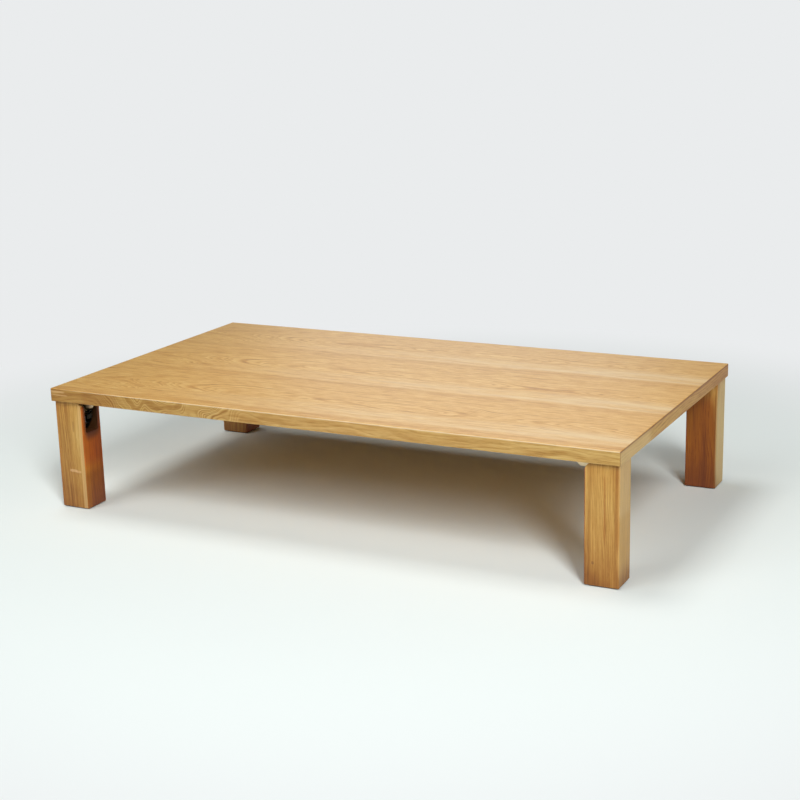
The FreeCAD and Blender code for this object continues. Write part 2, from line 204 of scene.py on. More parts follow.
def planed(tree, shader, point, colour, pores, gloss, coat):
    """Joins the colour to the shader, with pores that are sunk and duller, fibres that stand a little
    proud, and a thin coat of lacquer over them. The gloss is the roughness between the pores."""
    tree.links.new(colour, shader.inputs["Base Color"])
    rough = add(tree, "ShaderNodeMath", {0: pores, 1: pore_dullness, 2: gloss}, operation="MULTIPLY_ADD")
    tree.links.new(rough.outputs[0], shader.inputs["Roughness"])
    height = add(tree, "ShaderNodeMath", {0: pores, 1: -pore_sink, 2: threads(tree, point, *FIBRE_MM)},
                 operation="MULTIPLY_ADD")
    bump = add(tree, "ShaderNodeBump", {"Strength": 0.14, "Distance": 0.0004, "Height": height})
    tree.links.new(bump.outputs[0], shader.inputs["Normal"])
    shader.inputs["Coat Weight"].default_value = coat
    shader.inputs["Coat Roughness"].default_value = lacquer_roughness


SWAYS_PER_METRE = (3, 9, 9)


def pith_distance(tree, point, wander):
    """How far a point lies from the pith, the line along X through the origin. A slow noise moves the
    pith aside by up to the wander, in metres."""
    drift = stretched_noise(tree, point, SWAYS_PER_METRE)
    centred = add(tree, "ShaderNodeVectorMath", {0: drift.outputs["Color"], 1: (0.5, 0.5, 0.5)},
                  operation="SUBTRACT")
    sway = add(tree, "ShaderNodeVectorMath", {0: centred, "Scale": wander * 2}, operation="SCALE")
    across = add(tree, "ShaderNodeVectorMath", {0: point, 1: (0, 1, 1)}, operation="MULTIPLY")
    moved = add(tree, "ShaderNodeVectorMath", {0: across, 1: sway}, operation="ADD")
    return add(tree, "ShaderNodeVectorMath", {0: moved}, operation="LENGTH").outputs["Value"]


def swirl_share(tree, place, grain, low, high):
    """How much of a swirl a place has: all in the middle half between its two ends, and none outside."""
    along = add(tree, "ShaderNodeSeparateXYZ", {0: place}).outputs["xyz".index(grain)]
    middle = add(tree, "ShaderNodeMath", {0: along, 1: (low + high) / 2}, operation="SUBTRACT")
    off = add(tree, "ShaderNodeMath", {0: middle}, operation="ABSOLUTE")
    return add(tree, "ShaderNodeMapRange", {"Value": off, "From Min": (high - low) / 4,
                                            "From Max": (high - low) / 2, "To Min": 1.0, "To Max": 0.0},
               interpolation_type="SMOOTHSTEP")


def tint_along(tree, colour, place, axis, stops):
    """The colour times a tint that changes along an axis of the part. Stops are metres and hex colours."""
    tint = ramp_along(tree, add(tree, "ShaderNodeSeparateXYZ", {0: place}).outputs[axis], stops)
    return add(tree, "ShaderNodeMix", {"Factor": 1.0, "A": colour, "B": tint},
               data_type="RGBA", blend_type="MULTIPLY").outputs[2]


def patch(tree, colour, place, middle, reach, tint, strength, blend="MIX"):
    """The colour with a soft patch, where the wood is darker, paler or knotted, and in some places where
    light or shade is painted on. Its level is the root of x^4 + y^4 + z^4, stretched to its reach: it is
    whole up to 0.5 and gone at 1, a squarish oval. It is mixed in, or multiplied in where the grain is to
    show through it."""
    near = add(tree, "ShaderNodeVectorMath", {0: place, 1: middle}, operation="SUBTRACT")
    share = add(tree, "ShaderNodeVectorMath", {0: near, 1: reach}, operation="DIVIDE")
    squared = add(tree, "ShaderNodeVectorMath", {0: share, 1: share}, operation="MULTIPLY")
    level = add(tree, "ShaderNodeVectorMath", {0: squared}, operation="LENGTH").outputs["Value"]
    factor = add(tree, "ShaderNodeMapRange", {"Value": level, "From Min": 0.5, "From Max": 1.0,
                                              "To Min": strength, "To Max": 0.0},
                 interpolation_type="SMOOTHSTEP")
    return add(tree, "ShaderNodeMix", {"Factor": factor, "A": colour, "B": linear(tint)},
               data_type="RGBA", blend_type=blend).outputs[2]


glue_colour = "#6b451f"
glue_strength = 0.8
glue_half_width = 0.0005
glue_fades_out = 0.0013


def glue_line(tree, colour, place, seam):
    """The colour with the dark line of a mitred joint, which runs where |x| - |y| equals the seam."""
    spot = add(tree, "ShaderNodeSeparateXYZ", {0: place})
    long_way = add(tree, "ShaderNodeMath", {0: spot.outputs["X"]}, operation="ABSOLUTE")
    wide_way = add(tree, "ShaderNodeMath", {0: spot.outputs["Y"]}, operation="ABSOLUTE")
    gap = add(tree, "ShaderNodeMath", {0: long_way, 1: wide_way}, operation="SUBTRACT")
    off = add(tree, "ShaderNodeMath", {0: gap, 1: seam}, operation="SUBTRACT")
    near = add(tree, "ShaderNodeMath", {0: off}, operation="ABSOLUTE")
    line = add(tree, "ShaderNodeMapRange", {"Value": near, "From Min": glue_half_width,
                                            "From Max": glue_fades_out, "To Min": glue_strength,
                                            "To Max": 0})
    return add(tree, "ShaderNodeMix", {"Factor": line, "A": colour, "B": linear(glue_colour)},
               data_type="RGBA").outputs[2]


GRAIN_TURNS = {"x": (0, 0, 0), "y": (0, 0, -math.pi / 2), "z": (0, math.pi / 2, 0)}
CURLS_PER_METRE = (17, 11, 11)
swirl_boldness = 2.0


def wood(name, grain, pith, ring, tones, ring_share, thread_shares, wander=0.02, swirl=None, tint=None,
         patches=(), seam=None, gloss=0.50, coat=0.06):
    """Solid wood. Its rings, each so wide, lie round the pith, a line along the grain through the given
    point. A swirl is a stretch where a knot near by pushed the rings about and made them bolder, given by
    its two ends and how far it pushed them. A tint along the piece, patches and the line of a mitred
    joint, its seam, are laid over the grain."""
    material, tree, shader = new_material(name)
    place = add(tree, "ShaderNodeTexCoord").outputs["Object"]
    from_pith = add(tree, "ShaderNodeVectorMath", {0: place, 1: pith}, operation="SUBTRACT")
    point = add(tree, "ShaderNodeMapping", {"Vector": from_pith, "Rotation": GRAIN_TURNS[grain]})
    radius = pith_distance(tree, point, wander)
    if swirl:
        low, high, push = swirl
        inside = swirl_share(tree, place, grain, low, high)
        curl = stretched_noise(tree, point, CURLS_PER_METRE, detail=1)
        pushed = add(tree, "ShaderNodeMath", {0: curl, 1: inside}, operation="MULTIPLY")
        radius = add(tree, "ShaderNodeMath", {0: pushed, 1: push, 2: radius}, operation="MULTIPLY_ADD")
    rings = growth_rings(tree, radius, ring)
    if swirl:
        bolder = add(tree, "ShaderNodeMath", {0: inside, 1: swirl_boldness, 2: 1.0},
                     operation="MULTIPLY_ADD")
        rings = add(tree, "ShaderNodeMath", {0: rings, 1: bolder}, operation="MULTIPLY")
    colour, pores = grained(tree, point, rings, ring_share, thread_shares, tones)
    if tint:
        colour = tint_along(tree, colour, place, *tint)
    for spot in patches:
        colour = patch(tree, colour, place, *spot)
    if seam is not None:
        colour = glue_line(tree, colour, place, seam)
    planed(tree, shader, point, colour, pores, gloss, coat)
    return material


# Sawn pine: pale yellow with broad rings, and left bare, so it has no gloss.
PINE = {"tones": [(0.0, "#a87b45"), (0.45, "#caa066"), (0.75, "#dcb981"), (1.0, "#e6c994")],
        "ring": 0.0036, "ring_share": 0.45, "thread_shares": (0.5, 0.5, 0.3), "gloss": 0.8, "coat": 0}
dress(["core_rail_front", "core_rail_back"], wood("sawn_pine_long", "x", pith=(0, 0.30, 0.24), **PINE))
dress(["core_rail_left", "core_rail_right"] + [n for n in nodes if n.startswith("core_batten")],
      wood("sawn_pine_short", "y", pith=(-0.30, 0, 0.25), **PINE))


# The boards
# Two sheets of thin plywood, glued to the core. The upper one carries the veneer and the lower one is
# the underside, which is stained honey brown, sanded and has one thin coat of lacquer.

# Rotary-cut plywood: wide wandering rings, since the blade follows them round the log. The stain evens
# them out, and the floor in the shade below takes on its warm colour. The upper board, which the veneer
# hides, shares this material.
PLYWOOD_TONES = [(0.0, "#a06c25"), (0.35, "#bd8637"), (0.65, "#cd984a"), (1.0, "#dcab60")]
dress(["face_board", "back_board"],
      wood("stained_plywood", "x", pith=(0.2, 0.11, 0.33), ring=0.011, tones=PLYWOOD_TONES, ring_share=0.4,
           thread_shares=(0.4, 0.5, 0.3), wander=0.08, gloss=0.55, coat=0.08))


# The edging
# Four strips of solid ash, planed, mitred at the corners and glued round the boards. Their arrises are
# rounded over with the veneer. The front strip is cut where a knot had swirled the tree's grain.

def from_corner(corner, patches):
    """The patches, whose middles are given from a corner of a piece, moved to their place on the table."""
    return [(corner + Vector(middle), *rest) for middle, *rest in patches]


# Lacquered ash: golden brown with darker porous lines, silky at a low angle where the lacquer shines.
EDGE = {"tones": [(0.0, "#905e20"), (0.28, "#bd8a41"), (0.5, "#d5a75f"), (0.72, "#e3bc76"),
                  (1.0, "#f1d39a")],
        "thread_shares": (0.5, 0.45, 0.45),
        "seam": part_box("edging_right")[1].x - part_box("edging_back")[1].y}
edge_ring = 0.0052
edge_ring_share = 0.35

# A patch is its middle, its reach, its colour and its strength, matched to the photo from its angle.
# These middles are counted from the table's front left corner on the floor.
table_corner = Vector(cad_box[0])
FRONT_MARKS_AND_HIGHLIGHT = [
    # A browner stretch near the left end.
    ((0.15, 0, 0.300), (0.06, 0.02, 0.05), "#dcc094", 0.5, "MULTIPLY"),
    # Two thin pale streaks at the left end.
    ((0.015, 0, 0.307), (0.032, 0.02, 0.003), "#e2b982", 0.45),
    ((0.028, 0, 0.299), (0.027, 0.02, 0.002), "#d9b078", 0.45),
    # The arris above, with a painted highlight.
    ((0.95, 0, 0.3147), (1.00, 0.006, 0.0030), "#f0dfc0", 0.55)]
# The whole strip is duller and browner towards its left end, partly the wood's own tone and partly painted
# shade.
FRONT_TINT_AND_SHADE = (0, [(-0.75, "#cbbc98"), (-0.5, "#dbd9c6"), (-0.2, "#e0ddd2"), (0.1, "#e9e9e9"),
                  (0.75, "#eaf0ec")])
FRONT_SWIRL = (-0.62, -0.18, 0.13)
dress(["edging_front"],
      wood("lacquered_ash_front_edging", "x", pith=(0.2, -0.365, 0.262), ring=0.0070, ring_share=0.24,
           wander=0.03, swirl=FRONT_SWIRL, tint=FRONT_TINT_AND_SHADE,
           patches=from_corner(table_corner, FRONT_MARKS_AND_HIGHLIGHT), **EDGE))
dress(["edging_back"],
      wood("lacquered_ash_back_edging", "x", pith=(1.3, 0.37, 0.25), ring=edge_ring,
           ring_share=edge_ring_share, **EDGE))
dress(["edging_left"],
      wood("lacquered_ash_left_edging", "y", pith=(-0.70, 0.4, 0.27), ring=edge_ring,
           ring_share=edge_ring_share, **EDGE))

RIGHT_PATCHES = [
    # A paler front end.
    ((1.50, 0.065, 0.2950), (0.02, 0.16, 0.05), "#e2c182", 0.6),
    # The dark glue line under the veneer.
    ((1.50, 0.425, 0.3143), (0.006, 0.60, 0.0042), "#88480c", 0.8)]
# The strip darkens towards its back end, partly the wood's own tone and partly painted shade.
RIGHT_TINT_AND_SHADE = (1, [(-0.42, "#eee7c1"), (0.0, "#eee2b6"), (0.42, "#ddc182")])
dress(["edging_right"],
      wood("lacquered_ash_right_edging", "y", pith=(0.70, 0.9, 0.26), ring=edge_ring,
           ring_share=edge_ring_share, tint=RIGHT_TINT_AND_SHADE,
           patches=from_corner(table_corner, RIGHT_PATCHES), **EDGE))


# The veneer
# Three leaves of flat-sliced ash, slipped off one pile so that their figures repeat across the top.
# Each has arches that open to the right. It is sanded and lacquered to a satin finish.

# Sliced ash: nested arches where the knife skimmed the rings, pale bands and a dark line at each joint.
VENEER_TONES = [(0.0, "#ae752c"), (0.28, "#d09745"), (0.5, "#e3b262"), (0.72, "#edc379"), (1.0, "#f5d59a")]
VENEER_THREADS = (0.4, 0.22, 0.9)
veneer_ring = 0.0045
leaf_count = 3
# Sliced veneer is 0.8 mm thick. The knife's step is drawn larger, so that the leaves differ a little.
slice_step = 0.004

# The pith under a leaf: how far it lies from the leaf's back edge, the width it sways over, the width
# and depth it jags over, and how deep it lies at places along the table, all in metres.
pith_from_edge = 0.135
sway_width = 0.060
jag_width = 0.007
jag_depth = 0.006
PITH_DEPTHS = [(-0.75, 0.090), (-0.25, 0.036), (0.20, 0.020), (0.42, 0.034), (0.75, 0.004)]
LEAF_SWAYS_PER_METRE = (3.5, 10, 9)
JAGS_PER_METRE = (16, 60, 9)

# Across a leaf, by the share of its width from the back: a slightly duller part, and a faint dark line
# where it meets the next leaf. Before that line lies a pale band, broken up along the grain.
LEAF_TINTS = [(0.06, "#fcfaf6"), (0.62, "#fcfaf6"), (0.76, "#ffffff"), (0.92, "#ffffff"),
              (0.975, "#f0e6d4"), (1.0, "#f5eee2")]
PALE_BAND = [(0.0, 0.06), (0.10, 0.0), (0.60, 0.0), (0.76, 0.55), (0.90, 0.48), (0.96, 0.0)]
pale_colour = "#ead2a6"
BREAK_MM = (220, 26)
ragged_share = 0.12
# The pale band begins at the first of these places along the table and is whole from the second.
pale_from = -0.60
pale_whole = 0.45

# The whole top is a little duller at its left end, partly the wood's own tone and partly painted shade, and
# towards the back, which is painted shade.
LENGTH_TINT_AND_SHADE = (0, [(-0.75, "#f0eedd"), (-0.42, "#fffef6"), (0.75, "#ffffff")])
WIDTH_PAINTED_SHADE = (1, [(-0.425, "#ffffff"), (0.0, "#fffff8"), (0.425, "#f7f6ea")])


def leaf_places(tree, place):
    """A place's share of its leaf's width, counted from the back, and where it lay in the pile: along the
    table, across the leaf and as deep as the knife had come."""
    spot = add(tree, "ShaderNodeSeparateXYZ", {0: place})
    low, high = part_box("edging_front")[0].y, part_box("edging_back")[1].y
    leaf_width = (high - low) / leaf_count
    from_back = add(tree, "ShaderNodeMath", {0: high, 1: spot.outputs["Y"]}, operation="SUBTRACT")
    count = add(tree, "ShaderNodeMath", {0: from_back, 1: leaf_width}, operation="DIVIDE")
    share = add(tree, "ShaderNodeMath", {0: count}, operation="FRACT")
    number = add(tree, "ShaderNodeMath", {0: count}, operation="FLOOR")
    inside = add(tree, "ShaderNodeMath", {0: share, 1: leaf_width}, operation="MULTIPLY")
    depth = add(tree, "ShaderNodeMath", {0: number, 1: slice_step}, operation="MULTIPLY")
    return share, (spot.outputs["X"], inside, depth)


def arch_radius(tree, along, inside, sliced, point, drift):
    """How far a place in a leaf lies from the pith, which runs under the leaf, now nearer and now deeper.
    Steps of that distance draw nested arches and ovals."""
    jag = stretched_noise(tree, point, JAGS_PER_METRE, detail=1)
    sway = add(tree, "ShaderNodeMath", {0: drift, 1: sway_width, 2: -sway_width / 2 - pith_from_edge},
               operation="MULTIPLY_ADD")
    sway = add(tree, "ShaderNodeMath", {0: jag, 1: jag_width, 2: sway}, operation="MULTIPLY_ADD")
    offset = add(tree, "ShaderNodeMath", {0: inside, 1: sway}, operation="ADD")
    bed = ramp_along(tree, along, PITH_DEPTHS)
    bed.color_ramp.interpolation = "EASE"
    depth = add(tree, "ShaderNodeMath", {0: jag, 1: jag_depth, 2: bed}, operation="MULTIPLY_ADD")
    depth = add(tree, "ShaderNodeMath", {0: depth, 1: sliced}, operation="ADD")
    section = add(tree, "ShaderNodeCombineXYZ", {0: offset, 1: depth})
    return add(tree, "ShaderNodeVectorMath", {0: section}, operation="LENGTH").outputs["Value"]


def leaf_bands(tree, colour, along, point, share, drift):
    """The colour with each leaf's tints, and with its pale band, which fades out to the left. Both have
    ragged edges."""
    ragged = add(tree, "ShaderNodeMath", {0: drift, 1: ragged_share, 2: share}, operation="MULTIPLY_ADD")
    tint = set_stops(add(tree, "ShaderNodeValToRGB", {0: ragged}), LEAF_TINTS)
    colour = add(tree, "ShaderNodeMix", {"Factor": 1.0, "A": colour, "B": tint},
                 data_type="RGBA", blend_type="MULTIPLY").outputs[2]
    band = set_stops(add(tree, "ShaderNodeValToRGB", {0: ragged}), PALE_BAND)
    to_right = add(tree, "ShaderNodeMapRange", {"Value": along, "From Min": pale_from,
                                                "From Max": pale_whole})
    band = add(tree, "ShaderNodeMath", {0: band, 1: to_right}, operation="MULTIPLY")
    broken = add(tree, "ShaderNodeMapRange", {"Value": threads(tree, point, *BREAK_MM), "From Min": 0.38,
                                              "From Max": 0.62, "To Min": 0.4, "To Max": 1.0})
    band = add(tree, "ShaderNodeMath", {0: band, 1: broken}, operation="MULTIPLY")
    return add(tree, "ShaderNodeMix", {"Factor": band, "A": colour, "B": linear(pale_colour)},
               data_type="RGBA").outputs[2]


def veneer():
    """The leaves' rings, grain and bands under one coat of lacquer."""
    material, tree, shader = new_material("lacquered_ash_veneer")
    place = add(tree, "ShaderNodeTexCoord").outputs["Object"]
    share, (along, inside, sliced) = leaf_places(tree, place)
    point = add(tree, "ShaderNodeCombineXYZ", {0: along, 1: inside, 2: sliced})
    drift = stretched_noise(tree, point, LEAF_SWAYS_PER_METRE, detail=2.5)
    rings = growth_rings(tree, arch_radius(tree, along, inside, sliced, point, drift), veneer_ring)
    colour, pores = grained(tree, point, rings, ring_share=0.46, thread_shares=VENEER_THREADS,
                            tones=VENEER_TONES)
    colour = tint_along(tree, colour, place, *LENGTH_TINT_AND_SHADE)
    colour = tint_along(tree, colour, place, *WIDTH_PAINTED_SHADE)
    colour = leaf_bands(tree, colour, along, point, share, drift)
    planed(tree, shader, point, colour, pores, gloss=0.40, coat=0.26)
    return material


dress(["top_veneer"], veneer())


# The table brackets and their screws
# Pressed from sheet steel, bent up into two ears and zinc plated, one at each corner of the underside.
# Four countersunk screws hold each to the rail above.

clouds_per_metre = 120
cloud_dullness = 0.22


def steel(name, colour, worn, gloss, marks_per_metre):
    """Plated or bare steel: a metal whose tone drifts in clouds to a worn one, and whose roughness rises
    with them from the gloss. The marks left by its making are a fine relief, longest along the axis that
    has the fewest of them."""
    material, tree, shader = new_material(name)
    place = add(tree, "ShaderNodeTexCoord").outputs["Object"]
    cloud = add(tree, "ShaderNodeTexNoise", {"Vector": place, "Scale": clouds_per_metre, "Detail": 3})
    tint = add(tree, "ShaderNodeMix", {"Factor": cloud, "A": linear(colour), "B": linear(worn)},
               data_type="RGBA")
    tree.links.new(tint.outputs[2], shader.inputs["Base Color"])
    rough = add(tree, "ShaderNodeMath", {0: cloud, 1: cloud_dullness, 2: gloss}, operation="MULTIPLY_ADD")
    tree.links.new(rough.outputs[0], shader.inputs["Roughness"])
    marks = stretched_noise(tree, place, marks_per_metre)
    bump = add(tree, "ShaderNodeBump", {"Strength": 0.12, "Distance": 0.0002, "Height": marks})
    tree.links.new(bump.outputs[0], shader.inputs["Normal"])
    shader.inputs["Metallic"].default_value = 1
    return material


# Zinc plate: a pale warm grey. The roll marks are drawn 0.4 mm apart, coarser than real ones. The
# screws' plate is darker. Its relief has no direction and is about a millimetre across, also coarser.
zinc_steel = steel("zinc_plated_steel", "#e4d2b0", worn="#c2ae86", gloss=0.30,
                   marks_per_metre=(300, 2500, 300))
zinc_screw = steel("zinc_plated_screw", "#c9c4ae", worn="#a99f80", gloss=0.26,
                   marks_per_metre=(900, 900, 900))
dress([n for n in nodes if n.startswith("table_bracket_") and "screws" not in n], zinc_steel)
dress([n for n in nodes if "screws" in n], zinc_screw)


# The legs
# Square posts of solid ash, planed, rounded over at the inner top corner and routed for the hinge. Each
# is cut from its own place in the plank, so no two show the same grain.

CORNERS = ("front_left", "front_right", "back_left", "back_right")

# Lacquered ash again, but from nearer the heart: warmer, with soft streaks, and darker towards the foot.
# Its inner side is darker with painted shade. The tints and patches were matched to the photo from its
# angle, so they hold some of its light and shade as well as the wood's own colour.
LEG = {"tones": [(0.0, "#7b4912"), (0.28, "#a4722e"), (0.5, "#bc8c41"), (0.72, "#cda256"),
                 (1.0, "#dcba77")],
       "tint": (2, [(0.0, "#cab084"), (0.05, "#dac8a9"), (0.11, "#eee7da"), (0.19, "#f9f9f9"),
                    (0.28, "#fffaf0")]),
       "ring": 0.0050, "ring_share": 0.30, "thread_shares": (0.55, 0.9, 0.35)}
LEG_PITHS = {"front_left": (-0.81, -0.31, -0.35), "front_right": (0.60, -0.32, 0.20),
             "back_left": (-0.62, 0.46, 0.75), "back_right": (0.79, 0.47, 1.30)}

# These middles are counted from the leg's own front left corner on the floor.
LEG_MARKS_AND_PAINTED_LIGHT = {
    "front_left": [
        # A browner left edge and a paler right one.
        ((-0.001, 0, 0.15), (0.014, 0.03, 0.30), "#e2bd8a", 0.5, "MULTIPLY"),
        ((0.075, 0, 0.12), (0.009, 0.02, 0.20), "#dfba7e", 0.40),
        # A short dark streak.
        ((0.051, 0, 0.217), (0.0028, 0.006, 0.016), "#8a5a24", 0.45),
        # A pale scar in two parts, and the dark line below it.
        ((0.042, 0, 0.1005), (0.013, 0.006, 0.0040), "#e2b785", 0.45),
        ((0.057, 0, 0.0985), (0.010, 0.006, 0.0036), "#e2b785", 0.35),
        ((0.049, 0, 0.0930), (0.018, 0.006, 0.0036), "#a06c34", 0.35),
        # The foot of the inner face, darker and yellower: painted shade.
        ((0.080, 0.0365, 0.02), (0.0024, 0.10, 0.09), "#ded98c", 1.0, "MULTIPLY")],
    "front_right": [
        # A small knot.
        ((0.020, 0, 0.055), (0.0032, 0.004, 0.0040), "#6b3f1c", 0.6),
        # A paler outer face, partly the wood's own tone and partly painted light and sheen.
        ((0.080, 0.0365, 0.22), (0.004, 0.10, 0.22), "#e2be7e", 0.55),
        # A brown line down the right edge of the front: painted shade over the arris's highlight.
        ((0.075, 0, 0.190), (0.005, 0.008, 0.12), "#d8bc88", 0.7, "MULTIPLY"),
        # The left side of the foot, browner.
        ((-0.046, 0, -0.06), (0.115, 0.006, 0.115), "#dcc88c", 0.8, "MULTIPLY"),
        # The lower part of the outer face, a little browner.
        ((0.080, 0.0365, 0.085), (0.004, 0.10, 0.090), "#ecdcae", 0.6, "MULTIPLY"),
        # A thin brown streak up the front.
        ((0.046, 0, 0.18), (0.0025, 0.01, 0.09), "#dcb688", 0.7, "MULTIPLY")],
    "back_left": [],
    "back_right": [
        # A darker, yellower front, which tones down the lamp light that falls on it too strongly.
        ((0.034, 0, 0.09), (0.052, 0.008, 0.19), "#c8982c", 1.0, "MULTIPLY"),
        # A paler outer face, partly the wood's own tone and partly painted light and sheen.
        ((0.080, 0.0885, 0.14), (0.004, 0.102, 0.17), "#e4c886", 0.58)]}
recess_depth = 0.040


def inner_painted_shade(low, high):
    """The patches of painted shade on a leg's inner side, from the leg's lowest and highest corner: a
    browner inner face, the more so near the top, and dark brown walls in its recess, where shade falls."""
    inner_x, outwards = (low.x, 1) if low.x > 0 else (high.x, -1)
    middle_y = (low.y + high.y) / 2
    recess_x = inner_x + outwards * recess_depth / 2
    # Painted shade: the inner face browner, more so near the top, and the recess walls dark brown.
    return [((inner_x, middle_y, 0.14), (0.0024, 0.10, 0.30), "#edba4c", 1.0, "MULTIPLY"),
            ((inner_x, middle_y, 0.22), (0.0024, 0.10, 0.12), "#f2cf8e", 1.0, "MULTIPLY"),
            ((recess_x, middle_y, 0.243), (0.031, 0.0375, 0.076), "#3a1606", 0.92)]


for corner in CORNERS:
    low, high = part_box("leg_" + corner)
    # The wood's own marks, with painted light and shade among them.
    marks = from_corner(Vector((low.x, low.y, 0)), LEG_MARKS_AND_PAINTED_LIGHT[corner])
    dress(["leg_" + corner], wood("lacquered_ash_leg_" + corner, "z", pith=LEG_PITHS[corner],
                                  patches=marks + inner_painted_shade(low, high), **LEG))


# The foot pads
# Pressed felt about as thick as a coin, cut a little smaller than the leg's foot and glued under it.
# Its edge is soft and the weight of the table has pressed it flat.

pad_sides = 96
pad_rows = 13
pad_squareness = 14
pad_bulge = 0.7
felt_lumps_per_metre = 900


def grid_mesh(name, points, caps=(0, -1)):
    """A mesh of a grid of points, rows by columns. The columns join up round the shape, and one face
    caps each row that is listed as an end."""
    rows, columns = points.shape[:2]
    index = np.arange(rows * columns).reshape(rows, columns)
    following = np.roll(index, -1, axis=1)
    sides = np.stack([index[:-1], following[:-1], following[1:], index[1:]], axis=-1).reshape(-1, 4)
    faces = sides.tolist() + [index[row][::-1 if row == 0 else 1].tolist() for row in caps]
    mesh = bpy.data.meshes.new(name)
    mesh.from_pydata(points.reshape(-1, 3).tolist(), [], faces)
    mesh.polygons.foreach_set("use_smooth", np.ones(len(faces), bool))
    mesh.update()
    piece = bpy.data.objects.new(name, mesh)
    bpy.context.scene.collection.objects.link(piece)
    return piece


def felt():
    """Wool felt: matted fibres, drawn as fine noise about a millimetre across, and no gloss."""
    material, tree, shader = new_material("pressed_felt")
    place = add(tree, "ShaderNodeTexCoord").outputs["Object"]
    mat = add(tree, "ShaderNodeTexNoise", {"Vector": place, "Scale": felt_lumps_per_metre, "Detail": 3})
    colour = set_stops(add(tree, "ShaderNodeValToRGB", {0: mat}), [(0.3, "#2e231a"), (0.7, "#5a4635")])
    tree.links.new(colour.outputs[0], shader.inputs["Base Color"])
    shader.inputs["Roughness"].default_value = 0.95
    shader.inputs["Sheen Weight"].default_value = 0.3
    bump = add(tree, "ShaderNodeBump", {"Strength": 0.5, "Distance": 0.0006, "Height": mat})
    tree.links.new(bump.outputs[0], shader.inputs["Normal"])
    return material


def pad_points(low, high):
    """A slab whose plan is a rounded rectangle, the oval x^14 + y^14 = 1 stretched to its sides, and
    whose edge bulges as a flattened half round. Rows go up the slab and columns go round it."""
    centre, half = (low + high) / 2, (high - low) / 2
    angle = np.linspace(0, 2 * np.pi, pad_sides, endpoint=False)
    lift = np.linspace(-np.pi / 2, np.pi / 2, pad_rows)[:, None]
    sum_of_powers = np.abs(np.cos(angle)) ** pad_squareness + np.abs(np.sin(angle)) ** pad_squareness
    scale = sum_of_powers ** (-1 / pad_squareness)
    edge = np.cos(lift) * half[2] * pad_bulge - half[2] * pad_bulge
    x = centre[0] + (half[0] * scale + edge) * np.cos(angle)
    y = centre[1] + (half[1] * scale + edge) * np.sin(angle)
    z = centre[2] + half[2] * np.sin(lift) + 0 * angle
    return np.stack([x, y, z], axis=-1)


pad_felt = felt()
for corner in CORNERS:
    low, high = (np.array(c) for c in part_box("foot_pad_" + corner))
    pad = grid_mesh("felt_pad_" + corner, pad_points(low, high))
    pad.data.materials.append(pad_felt)
    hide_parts("foot_pad_" + corner)
    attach(pad, "leg_" + corner)


# The leg brackets
# Pressed steel channels in the legs' recesses, dipped black. Each has two cheeks that carry the hinge
# pin and a small shelf that the lock's spring stands on.

# Black passivated steel: a dark warm grey with a dull shine. Its roll marks lie level, 0.4 mm apart,
# which is coarser than real ones.
dark_steel = steel("black_passivated_steel", "#4a453e", worn="#2e2a26", gloss=0.36,
                   marks_per_metre=(300, 300, 2500))
dress([n for n in nodes if n.startswith("leg_bracket_") and "screws" not in n], dark_steel)


# The pins
# Turned from bright steel bar, one for the hinge and one for the lock, each with a head at both ends.

# Bright drawn bar: pale grey and shiny, with marks along it 0.3 mm apart, coarser than real ones.
bright_steel = steel("turned_bright_steel", "#d6d6d4", worn="#b7b6b2", gloss=0.18,
                     marks_per_metre=(3000, 200, 3000))
dress([n for n in nodes if n.startswith(("hinge_pin_", "lock_pin_"))], bright_steel)


# The release levers
# Bent from the same blackened sheet as the leg brackets, with a hub that turns down over the lock pin.

dress([n for n in nodes if n.startswith("release_lever_")], dark_steel)


# The lock springs
# Wound from hard steel wire, with the first and last turns closed so that they stand square on the shelf.
# In the table they lengthen as they push the lock pins up; each is drawn here at one length.

wire_radius = 0.0005
wire_turns = 7
steps_per_turn = 40
wire_sides = 12


def spring_points(centre, radius, low, high):
    """A round wire carried along a helix. In its first and last turn it climbs by one wire's width, and
    the turns between share the rest of the height. Rows go along the wire and columns go round it."""
    turn = np.linspace(0, wire_turns, wire_turns * steps_per_turn + 1)[:, None]
    closed = 2 * wire_radius
    rest = high - low - 2 * wire_radius - 2 * closed
    ends = np.clip(turn, 0, 1) + np.clip(turn - wire_turns + 1, 0, 1)
    middle = np.clip((turn - 1) / (wire_turns - 2), 0, 1)
    height = low + wire_radius + closed * ends + rest * middle
    angle = 2 * np.pi * turn
    around = np.linspace(0, 2 * np.pi, wire_sides, endpoint=False)
    out = radius + wire_radius * np.cos(around)
    x = centre[0] + out * np.cos(angle)
    y = centre[1] + out * np.sin(angle)
    z = height + wire_radius * np.sin(around)
    return np.stack([x, y, z], axis=-1)[:, ::-1]


# Drawn wire: a plain mid grey steel with a soft shine. Its relief is drawn coarser than the real one.
wire_steel = steel("drawn_spring_wire", "#a9a9a8", worn="#8b8a88", gloss=0.24,
                   marks_per_metre=(900, 900, 300))
for corner in CORNERS:
    low, high = (np.array(c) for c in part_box("lock_spring_" + corner))
    centre = (low + high) / 2
    radius = (high[0] - low[0]) / 2 - wire_radius
    spring = grid_mesh("wire_spring_" + corner, spring_points(centre, radius, low[2], high[2]))
    spring.data.materials.append(wire_steel)
    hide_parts("lock_spring_" + corner)
    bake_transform(spring)


# The studio
# A pale seamless floor that curves up into a wall all round, as a paper sweep does. The far part shows
# its own colour to the camera, so that the wall stays even, and the floor by the table takes shadows.

floor_reach = 8.5
wall_round = 1.5
wall_height = 7.0
first_ring = 0.01
floor_rings = 12
bend_rings = 24
sweep_sides = 128
floor_colour = "#e9f0ee"
wall_colour = "#eaeced"
room_colour = "#4a4e50"
# The wall's own colour takes over from the shaded floor between these distances from the table's middle.
own_colour_from = 1.05
own_colour_whole = 2.1
